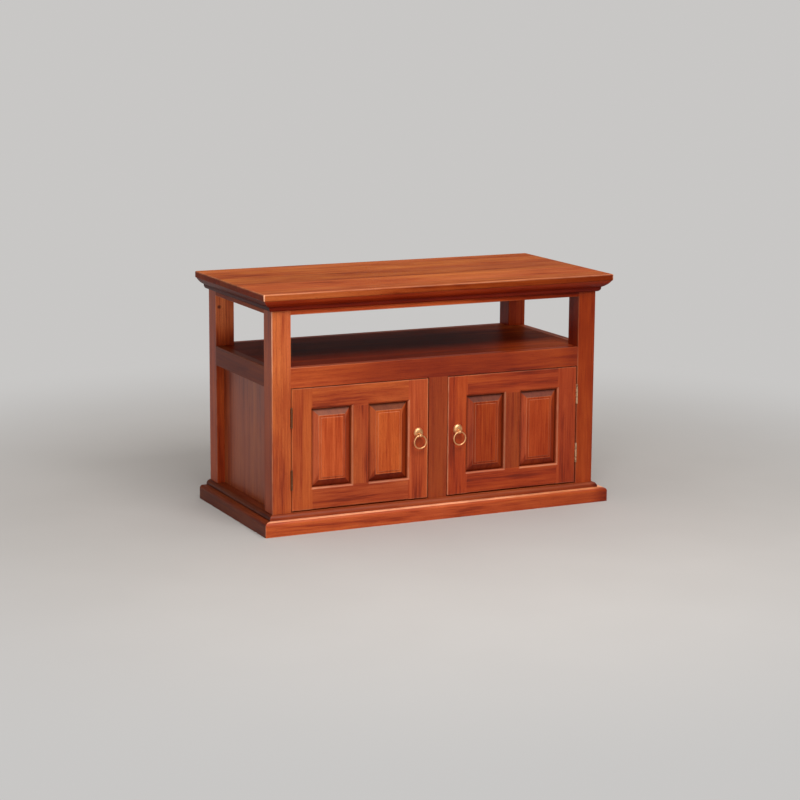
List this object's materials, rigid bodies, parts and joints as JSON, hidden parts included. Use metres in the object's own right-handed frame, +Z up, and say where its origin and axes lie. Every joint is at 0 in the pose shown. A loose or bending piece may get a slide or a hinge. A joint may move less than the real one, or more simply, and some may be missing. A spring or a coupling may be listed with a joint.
{
  "type": "television stand",
  "caption": "Low wooden television stand with a moulded top, an open bay, a cupboard closed by panelled doors with brass ring pulls, and a moulded plinth.",
  "frame": {"origin": "on the floor, under the middle of the top board", "axes": "+X to the right as seen from the front, +Y to the back, +Z up; the doors face -Y"},
  "size_m": [0.97, 0.474, 0.6],
  "materials": {
    "mahogany": "gloss lacquer over red-brown stain",
    "plywood": "satin, stained",
    "cleat_wood": "planed, unfinished",
    "brass": "polished",
    "catch_plastic": "moulded, satin",
    "strike_steel": "zinc plated"
  },
  "bodies": {
    "cabinet": {"top_board": "mahogany", "cornice_front": "mahogany", "cornice_left": "mahogany", "cornice_right": "mahogany", "plinth_front": "mahogany", "plinth_left": "mahogany", "plinth_right": "mahogany", "plinth_bead_front": "mahogany", "plinth_bead_left": "mahogany", "plinth_bead_right": "mahogany", "frieze_rail_front": "mahogany", "frieze_rail_rear": "mahogany", "frieze_rail_left": "mahogany", "frieze_rail_right": "mahogany", "mid_rail_front": "mahogany", "mid_rail_rear": "mahogany", "mid_rail_left": "mahogany", "mid_rail_right": "mahogany", "bottom_rail_front": "mahogany", "bottom_rail_rear": "mahogany", "bottom_rail_left": "mahogany", "bottom_rail_right": "mahogany", "centre_stile": "mahogany", "post_front_left": "mahogany", "post_front_right": "mahogany", "post_rear_left": "mahogany", "post_rear_right": "mahogany", "side_panel_left": "mahogany", "side_panel_right": "mahogany", "shelf_board": "mahogany", "back_panel": "plywood", "cupboard_floor": "plywood", "top_cleats": "cleat_wood", "shelf_cleats": "cleat_wood", "floor_cleats": "cleat_wood", "hinge_leaves_fixed": "brass", "hinge_pins": "brass", "catch_cases": "catch_plastic"},
    "door_left": {"door_left_hinge_stile": "mahogany", "door_left_lock_stile": "mahogany", "door_left_top_rail": "mahogany", "door_left_bottom_rail": "mahogany", "door_left_muntin": "mahogany", "door_left_outer_panel": "mahogany", "door_left_inner_panel": "mahogany", "door_left_hinge_leaves": "brass", "door_left_pull_rosette": "brass", "door_left_catch_strike": "strike_steel"},
    "door_right": {"door_right_hinge_stile": "mahogany", "door_right_lock_stile": "mahogany", "door_right_top_rail": "mahogany", "door_right_bottom_rail": "mahogany", "door_right_muntin": "mahogany", "door_right_outer_panel": "mahogany", "door_right_inner_panel": "mahogany", "door_right_hinge_leaves": "brass", "door_right_pull_rosette": "brass", "door_right_catch_strike": "strike_steel"},
    "ring_left": {"pull_ring_left": "brass"},
    "ring_right": {"pull_ring_right": "brass"}
  },
  "joints": [
    {"name": "door_left_hinge", "type": "hinge", "parent": "cabinet", "child": "door_left", "pos_m": [-0.401, -0.2065, 0.206], "axis": [0, 0, -1], "range_deg": [0, 180]},
    {"name": "door_right_hinge", "type": "hinge", "parent": "cabinet", "child": "door_right", "pos_m": [0.401, -0.2065, 0.206], "axis": [0, 0, 1], "range_deg": [0, 180]},
    {"name": "ring_left_swing", "type": "hinge", "parent": "door_left", "child": "ring_left", "pos_m": [-0.0555, -0.2165, 0.217], "axis": [-1, 0, 0], "range_deg": [-18, 170]},
    {"name": "ring_right_swing", "type": "hinge", "parent": "door_right", "child": "ring_right", "pos_m": [0.0555, -0.2165, 0.217], "axis": [-1, 0, 0], "range_deg": [-18, 170]}
  ]
}
